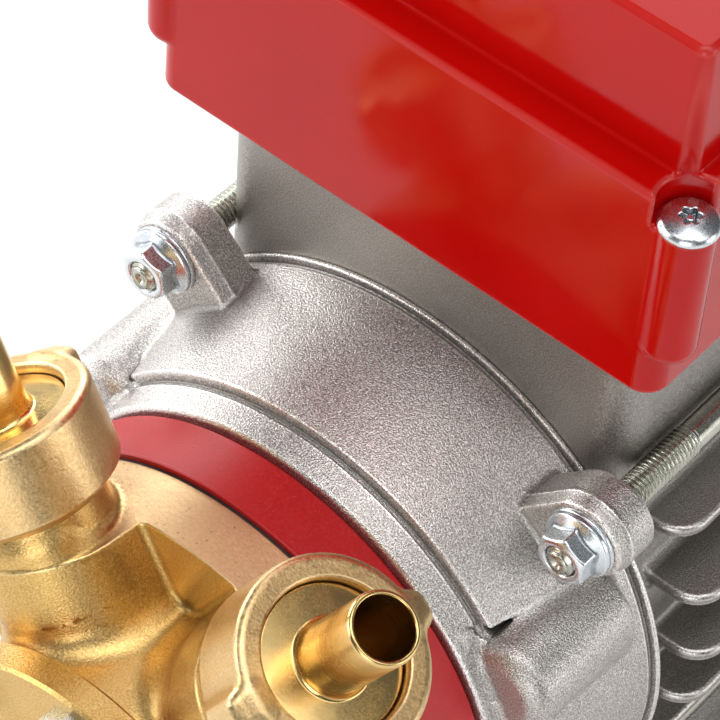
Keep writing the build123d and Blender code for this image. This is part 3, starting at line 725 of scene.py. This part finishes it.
def f_body(x, y, z):
    r = np.hypot(x, z)
    hub = rmax(r - 31.0, -46.0 - y, 0.9)
    slabs, necks = None, None
    for s in (-1, 1):
        t, u, v = port_frame(x, y, z, s)
        rho = np.hypot(u, v)
        soft = np.clip((2.0 - v) / 11.0, 0.0, 1.0)
        soft = soft * soft * (3 - 2 * soft)
        flank = ramp(v, -1.0, 14.7, 7.0, 15.6) - 0.95 * soft
        slab = np.where(v < 0, rho, np.abs(u)) - flank
        slab = np.maximum(slab, 4.0 - t)
        base = 12.25 + 2.3 / (1.0 + np.exp(np.clip((t - 50.3) / 1.25, -30.0, 30.0)))
        base = np.minimum(base, 14.5 - 0.97 * soft)
        top_ = np.clip((59.0 - t) / 6.0, 0.0, 1.0)
        front = soft * top_ * top_ * (3 - 2 * top_)
        neck = rho - (base + np.maximum(13.56 - base, 0.0) * front)
        neck = np.maximum(neck * 0.93, np.maximum(t - 59.0, 40.0 - t))
        stub = np.maximum(rho - 12.6, np.maximum(t - 70.6, 30.0 - t))
        neck = np.minimum(neck, stub)
        slabs = slab if slabs is None else rmin(slabs, slab, 4.2)
        necks = neck if necks is None else np.minimum(necks, neck)
    core = rmin(-23.4 - y, rmin(hub, slabs, 4.0), 1.5)
    d = rmax(core, r - 47.6, 0.22)
    d = rmin(d, necks, 0.6)
    for s in (-1, 1):
        t, u, v = port_frame(x, y, z, s)
        d = np.maximum(d, -np.maximum(np.hypot(u, v) - 8.5, 37.0 - t))
    d = np.maximum(d, 4.0 - r)
    return rmax(d, y + 12.5, 0.15)


P, Q, N, E = nets(f_body, around(24.0, 156.0, 0.66, 2.0),
                  ax(3.0, 3.2, 28.5, 0.65, 33.5, 0.75, 46.3, 0.3, 48.5, 0.72, 79.5),
                  ax(-47.2, 0.6, -25.2, 0.3, -22.8, 0.9, -13.3, 0.3, -12.0), round_shaft, True)
cut = np.clip(1.0 - np.abs(np.hypot(P[:, 0], P[:, 2]) - 47.6) / 0.12, 0.0, 1.0) * (np.abs(N[:, 0] * P[:, 0] + N[:, 2] * P[:, 2]) / 47.6 > 0.97)
make("pump_body_casting", P, Q, N, E, BRASS, ["pump_body"], {"turned": cut})


# ---- union nuts ------------------------------------------------------------------------------------
def nut_field(lug):
    c, s = math.cos(math.radians(lug)), math.sin(math.radians(lug))

    def f(u, v, t):
        rho = np.hypot(u, v)
        d = rmax(rho - 17.0, t - 74.9, 1.5)
        low = (rho - 13.9 - (t - 57.5) * 1.2) * 0.64
        d = rmax(d, rmax(57.5 - t, low, 0.3), 0.3)
        a, b = np.abs(u * c + v * s), np.abs(-u * s + v * c)
        lg = rmax(rrect(a - 16.9, b, 3.2, 3.4, 2.4), t - 74.2, 1.9)
        lg = rmax(lg, (59.0 + 1.3 * np.maximum(a - 16.0, 0.0)) - t, 1.6)
        d = rmin(d, lg, 2.2)
        hole = np.maximum(rho - ramp(t, 74.0, 12.55, 74.9, 12.75), 72.6 - t)
        d = rmax(d, -hole, 0.35)
        inner = rho - 13.4
        return np.maximum(d, -np.maximum(inner, t - 72.7))
    return f


def port_place(s):
    n = PORTS[s]
    away = np.array([n[2], 0.0, -n[0]])
    return np.array([0.0, PORT_Y, PORT_Z]), away, np.array([0.0, 1.0, 0.0]), n


def place(P, N, fr):
    o, u, v, n = fr
    M = np.stack([u, v, n])
    return o + P @ M, N @ M


def round_t(a, b, c):
    return b * np.cos(a), b * np.sin(a), c


for s, nm, lug, mat in ((-1, "left", 99.0, NUT_L), (1, "right", 79.0, NUT_R)):
    P, Q, N, E = nets(nut_field(lug), np.arange(250) * 2 * math.pi / 250,
                      ax(11.6, 0.5, 21.4), ax(56.6, 0.48, 75.6), round_t, True)
    P, N = place(P, N, port_place(s))
    if (np.cross(P[Q[:, 2]] - P[Q[:, 0]], P[Q[:, 3]] - P[Q[:, 1]]) * N[Q[:, 0]]).sum() < 0:
        Q = Q[:, ::-1]
    make(f"union_nut_{nm}_turned", P, Q, N, E, mat, [f"union_nut_{nm}"])

# ---- hose tails; the tail gaskets stay imported -------------------------------------------------------
tail = [(71.3, 5.15), (71.3, 12.3), (73.1, 12.3), (73.2, 6.9), (73.7, 6.35), (74.6, 6.2), (92.0, 6.2), (92.5, 5.85), (92.5, 5.35), (92.1, 5.15)]
for s, nm, mat in ((-1, "left", TAIL_L), (1, "right", TAIL_R_)):
    o, u, v, n = port_place(s)
    P, Q, pr = lathe(tail, 96, o, n, round_edges=0.25)
    ob = make(f"hose_tail_{nm}_turned", P, outward(P, Q), None, None, mat, [f"hose_tail_{nm}"])
    smooth_by_angle(ob, 40)

# ---- red adapter ring; the black joint stays imported ------------------------------------------------------
ring = [(0.0, 44.0), (0.0, 47.2), (-0.75, 47.2), (-0.95, 48.35), (-11.2, 48.40), (-11.35, 48.5), (-11.88, 48.5), (-12.0, 48.38), (-12.0, 44.0)]
P, Q, pr = lathe(ring, 280, (0, 0, 0), (0, 1, 0), round_edges=0.16)
# painted shade mask: high at the front rim and at the band next to the aluminium lip, where the enamel is darkened
E = np.repeat(np.interp(pr[:, 0], [-12.0, -11.95, -11.85, -1.1, -0.9, 0.0], [0.9, 0.6, 0.0, 0.0, 0.9, 1.2]), 280)
ob = make("red_ring_turned", P, outward(P, Q), None, E, RING, ["red_ring"])
smooth_by_angle(ob, 35)


# ---- flange nuts ----------------------------------------------------------------------------------------------
def f_flange_nut(u, v, t):
    """t is the height above the bearing face."""
    rho = np.hypot(u, v)
    fl = rmax(rho - 6.7, t - 0.85, 0.25)
    top = rmax(rho - 6.5, t - ramp(rho, 4.6, 2.9, 6.4, 1.75), 0.28)
    fl = rmin(fl, top, 0.1)
    a = math.radians(12.0)
    uu, vv = u * math.cos(a) + v * math.sin(a), -u * math.sin(a) + v * math.cos(a)
    hx = np.full_like(rho, -99.0)
    for k in range(3):
        b = math.radians(60 * k)
        hx = rmax(hx, np.abs(uu * math.cos(b) + vv * math.sin(b)) - 4.5, 0.25)
    hx = rmax(hx, t - 6.35, 0.25)
    cone = (rho + (t - 6.35) * 1.35 - 4.25) * 0.6
    hx = rmax(hx, cone, 0.25)
    d = rmin(fl, hx, 0.5)
    d = rmax(d, -t, 0.12)
    bore = rho - np.maximum(3.03, 3.03 + (t - 5.95) * 0.8)
    return rmax(d, -bore, 0.12)


NUTS = [nets(f_flange_nut, np.arange(n) * 2 * math.pi / n, ax(2.6, h, 7.6), ax(-0.4, h, 6.6), round_t, True) for n, h in ((112, 0.25), (72, 0.42))]


def nut_set(name, node, y, d, NP, NQ, NN, NE):
    Ps, Qs, Ns, Es, k = [], [], [], [], 0
    for i, (cx, cz) in enumerate(SPOTS):
        th = math.radians((-13, 0, 40, 25)[i])
        c, s = math.cos(th), math.sin(th)
        ex, ez = np.array([c, 0, s]), np.array([-s, 0, c])
        fr = (np.array([cx, y, cz]), ex, ez, np.array([0.0, -float(d), 0.0]))
        P, N = place(NP, NN, fr)
        Q = NQ
        if (np.cross(P[Q[:, 2]] - P[Q[:, 0]], P[Q[:, 3]] - P[Q[:, 1]]) * N[Q[:, 0]]).sum() < 0:
            Q = Q[:, ::-1]
        Ps.append(P); Qs.append(Q + k); Ns.append(N); Es.append(NE)
        k += len(P)
    make(name, np.concatenate(Ps), np.concatenate(Qs), np.concatenate(Ns), np.concatenate(Es), ZINC, [node])


nut_set("front_flange_nuts_plated", "front_flange_nuts", 21.8, 1, *NUTS[0])
nut_set("rear_flange_nuts_plated", "rear_flange_nuts", 145.0, -1, *NUTS[1])


# ---- tie rods with rolled thread at both ends ---------------------------------------------------------------------
def rod_radius(Y, T):
    """Radius of a rod at length Y and angle T: rolled thread at both ends, plain shank between."""
    ph = (Y - T / (2 * math.pi)) % 1.0
    crest = 0.5 + 0.5 * np.cos(2 * math.pi * (ph - 0.5))
    on = np.clip((51.3 - Y) / 1.6, 0.0, 1.0) + np.clip((Y - 134.4) / 1.6, 0.0, 1.0)
    R = 2.72 + on * (-0.36 + 0.62 * crest)
    end = np.minimum(Y - 15.0, 152.0 - Y)
    return np.minimum(R, 2.2 + np.clip(end, 0, 3) * 1.0), crest * on


def rod_mesh(cx, cz, sides=28):
    ys = np.concatenate([ax(15.0, 0.14, 51.5), ax(52.5, 3.0, 134.0), ax(134.4, 0.25, 152.0)])
    th = np.arange(sides) * 2 * math.pi / sides
    Y, T = np.meshgrid(ys, th, indexing="ij")
    R, crest = rod_radius(Y, T)
    e = 0.01
    ry = (rod_radius(Y + e, T)[0] - rod_radius(Y - e, T)[0]) / (2 * e)
    rt = (rod_radius(Y, T + e)[0] - rod_radius(Y, T - e)[0]) / (2 * e * R)
    Nn = np.stack([np.cos(T) + rt * np.sin(T), -ry, np.sin(T) - rt * np.cos(T)], -1)
    Nn /= np.linalg.norm(Nn, axis=-1)[..., None]
    P = np.stack([cx + R * np.cos(T), Y, cz + R * np.sin(T)], -1).reshape(-1, 3)
    Nn = Nn.reshape(-1, 3)
    m = len(ys)
    idx = np.arange(m * sides).reshape(m, sides)
    nx = np.roll(idx, -1, 1)
    Q = np.concatenate([np.stack([idx[i], nx[i], nx[i + 1], idx[i + 1]], 1) for i in range(m - 1)])
    # thread roots get a negative value (painted shade, darkened by the plated finish), crests a small positive one
    # (slight painted highlight)
    E = np.where((Y > 51.3) & (Y < 134.4), 0.1, crest * 1.0 - 0.5).reshape(-1)
    caps, k = [], len(P)
    for row, sgn, y in ((0, -1, 15.0), (m - 1, 1, 152.0)):
        prev = idx[row]
        for rr, dy, ny in ((1.9, 0.28, 0.80), (1.45, 0.42, 0.97), (1.1, 0.36, 0.8), (0.75, 0.05, 0.7), (0.4, -0.12, 0.97)):
            P = np.concatenate([P, np.stack([cx + rr * np.cos(th), np.full(sides, y - sgn * 0.3 + sgn * dy), cz + rr * np.sin(th)], 1)])
            q = math.sqrt(1 - ny * ny) * (1 if rr > 1.3 else -1)
            Nn = np.concatenate([Nn, np.stack([q * np.cos(th), np.full(sides, sgn * ny), q * np.sin(th)], 1)])
            E = np.concatenate([E, np.full(sides, 0.2)])
            cur = np.arange(k, k + sides)
            k += sides
            caps.append(np.stack([prev, np.roll(prev, -1), np.roll(cur, -1), cur], 1) if sgn > 0 else np.stack([prev, cur, np.roll(cur, -1), np.roll(prev, -1)], 1))
            prev = cur
        P = np.concatenate([P, [[cx, y - sgn * 0.45, cz]]])
        Nn = np.concatenate([Nn, [[0.0, float(sgn), 0.0]]])
        E = np.append(E, 0.0)
        tri = np.stack([prev, np.roll(prev, -1), np.full(sides, k)], 1)
        caps.append(tri if sgn > 0 else tri[:, ::-1])
        k += 1
    quads = np.concatenate([Q] + [c for c in caps if c.shape[1] == 4])
    tris = np.concatenate([c for c in caps if c.shape[1] == 3])
    return P, quads, tris, Nn, E


Ps, Qs, Ts, Ns, Es, k = [], [], [], [], [], 0
for cx, cz in SPOTS:
    P, q, t, Nn, E = rod_mesh(cx, cz)
    c = np.cross(P[q[:, 2]] - P[q[:, 0]], P[q[:, 3]] - P[q[:, 1]])
    if (c * Nn[q[:, 0]]).sum() < 0:
        q, t = q[:, ::-1], t[:, ::-1]
    Ps.append(P); Qs.append(q + k); Ts.append(t + k); Ns.append(Nn); Es.append(E)
    k += len(P)
make("tie_rods_threaded", np.concatenate(Ps), [np.concatenate(Qs), np.concatenate(Ts)], np.concatenate(Ns), np.concatenate(Es), ROD, ["tie_rods"])


# ---- terminal box -------------------------------------------------------------------------------------------------------
POSTS = [(BOX_X + sx * 51.7, BOX_YM + sy * 49.5) for sx in (1, -1) for sy in (1, -1)]


def f_box(x, y, z):
    tp = (z - 82.0) * 0.0105
    d = rrect(x - BOX_X, y - BOX_YM, 52.7 - tp, 53.5 - tp, 4.5)
    d = rmax(d, z - 125.0, 1.0)
    d = rmax(d, 82.0 - z, 1.0)
    tb = (z - 125.0) * 0.0437
    blk = rmax(rrect(x - BOX_X, y - BOX_YM, 48.9 - tb, 46.5 - tb, 2.2), z - 150.0, 1.4)
    blk = np.maximum(blk, 110.0 - z)
    d = rmin(d, blk, 0.7)
    for px, py in POSTS:
        rr = np.hypot(x - px, y - py)
        d = rmax(d, -rmax(rr - 5.6, 119.2 - z, 0.4), 0.8)
        post = rmax(rr - 4.65, z - 119.6, 0.4)
        post = rmax(post, 91.0 - z, 3.0)
        d = rmin(d, post, 0.7)
    return d


P, Q, N, E = nets(f_box, ax(-58.4, 0.42, -44.0, 3.6, 41.0, 0.42, 55.4), ax(25.6, 0.42, 40.0, 3.8, 121.0, 0.42, 135.4),
                  ax(81.0, 0.36, 84.4, 1.0, 89.4, 0.7, 96.0, 2.0, 116.0, 0.4, 127.0, 2.5, 147.0, 0.4, 151.2))
make("terminal_box_moulding", P, Q, N, E, RED_BOX, ["terminal_box"])


# ---- box screws: pan heads with a star socket -----------------------------------------------------------------------------
def f_screw(u, v, t):
    rho = np.hypot(u, v)
    dome = (np.sqrt(rho ** 2 + (t + 8.6) ** 2) - 11.1)
    d = rmax(rho - 4.98, dome, 0.8)
    d = rmax(d, -t, 0.35)
    star = rho - (1.55 + 0.28 * np.cos(6 * np.arctan2(v, u)))
    d = rmax(d, -rmax(star * 0.8, 1.0 - t, 0.15), 0.25)
    pin = rmax(rho - 0.7, t - 1.9, 0.2)
    return np.minimum(d, np.maximum(pin, 0.6 - t))


g = ax(-5.4, 0.26, 5.4)
SP, SQ, SN, SE = nets(f_screw, g, g, ax(-0.5, 0.25, 3.0))
Ps, Qs, Ns, Es, k = [], [], [], [], 0
for i, (px, py) in enumerate(POSTS):
    th = math.radians((10, 40, 75, 25)[i])
    fr = (np.array([px, py, 119.6]), np.array([math.cos(th), math.sin(th), 0]), np.array([-math.sin(th), math.cos(th), 0]), np.array([0, 0, 1.0]))
    P, N = place(SP, SN, fr)
    Ps.append(P); Qs.append(SQ + k); Ns.append(N); Es.append(SE)
    k += len(P)
make("box_screws_plated", np.concatenate(Ps), np.concatenate(Qs), np.concatenate(Ns), np.concatenate(Es), ZINC, ["box_screws"])

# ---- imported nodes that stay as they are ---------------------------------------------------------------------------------
KEEP = {"body_seal": RUBBER, "pump_cover": BRASS, "cover_screws": ZINC, "tail_gaskets": FIBRE, "motor_shaft": STEEL, "cooling_fan": BLACK,
        "fan_cowl": COWL, "cowl_screws": ZINC, "box_gasket": RUBBER, "switch_bezel": BLACK, "rocker_switch": BLACK, "cable_gland": BLACK}
for name, mat in KEEP.items():
    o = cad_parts[name]
    o.data.materials.clear()
    o.data.materials.append(mat)
    smooth_by_angle(o, 30)

# ---- floor, light, camera -------------------------------------------------------------------------------------------------
scene = bpy.context.scene
me = bpy.data.meshes.new("studio_floor")
n = 40
g = np.linspace(-1, 1, n + 1)
X, Y = np.meshgrid(np.sign(g) * np.abs(g) ** 1.0 * 4.0, np.sign(g) * np.abs(g) * 4.0, indexing="ij")
V = np.stack([X, Y, np.zeros_like(X)], -1).reshape(-1, 3)
idx = np.arange((n + 1) ** 2).reshape(n + 1, n + 1)
F = np.stack([idx[:-1, :-1], idx[1:, :-1], idx[1:, 1:], idx[:-1, 1:]], -1).reshape(-1, 4)
me.from_pydata(V.tolist(), [], F.tolist())
floor = bpy.data.objects.new("studio_floor", me)
scene.collection.objects.link(floor)
fm = Net("pale_floor")
fm.set(color=fm.mix(fm.noise(3.0, 2.0), (0.90, 0.90, 0.90), (0.92, 0.92, 0.92)), rough=0.6)
me.materials.append(fm.m)

world = bpy.data.worlds.new("studio")
scene.world = world
world.use_nodes = True
wt = world.node_tree
bg = wt.nodes["Background"]
bg.inputs[0].default_value = (0.95, 0.97, 1.0, 1.0)
bg.inputs[1].default_value = 0.10


def area(name, loc, target, size, energy, colour=(1, 1, 1), sy=None):
    li = bpy.data.lights.new(name, "AREA")
    li.shape = "RECTANGLE"
    li.size, li.size_y = size, sy or size
    li.energy = energy
    li.color = colour
    ob = bpy.data.objects.new(name, li)
    ob.location = loc
    ob.rotation_euler = (Vector(target) - Vector(loc)).to_track_quat("-Z", "Y").to_euler()
    scene.collection.objects.link(ob)
    return ob


def studio(az, el, energy, size=0.8, dist=1.5, colour=(1, 1, 1)):
    a, e = math.radians(az), math.radians(el)
    loc = (dist * math.cos(a) * math.cos(e), dist * math.sin(a) * math.cos(e), dist * math.sin(e) + 0.1)
    ob = area("softbox_%d_%d" % (az, el), loc, (0, 0, 0.1), size, energy, colour)
    ob.visible_camera = False
    return ob


studio(135, 18, 11.0)
studio(180, 18, 12.0)
studio(225, 18, 8.0)
studio(0, 48, 3.0)
studio(0, 82, 6.0)
studio(122, 50, 4.5)
studio(20, 7, 5.0)
studio(270, 65, 3.8)
studio(300, 12, 6.0)
studio(15, 62, 1.0)

cam = bpy.data.cameras.new("photo_camera")
cam.lens = 183.66
cam.sensor_width = 36.0
cam.clip_start, cam.clip_end = 0.02, 50.0
co = bpy.data.objects.new("photo_camera", cam)
Rv, Uv, Fv = (0.76350, 0.64364, 0.05280), (-0.51508, 0.55759, 0.65099), (-0.38956, 0.52423, -0.75725)
co.matrix_world = Matrix(((Rv[0], Uv[0], -Fv[0], 0.23809), (Rv[1], Uv[1], -Fv[1], -0.36614),
                          (Rv[2], Uv[2], -Fv[2], 0.59334), (0, 0, 0, 1)))
scene.collection.objects.link(co)
scene.camera = co
scene.view_settings.view_transform = "Standard"
scene.view_settings.look = "None"

for name in KEEP:
    TRIS[name] = sum(len(p.vertices) - 2 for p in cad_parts[name].data.polygons)
print("TRIANGLES", json.dumps(TRIS), sum(TRIS.values()))
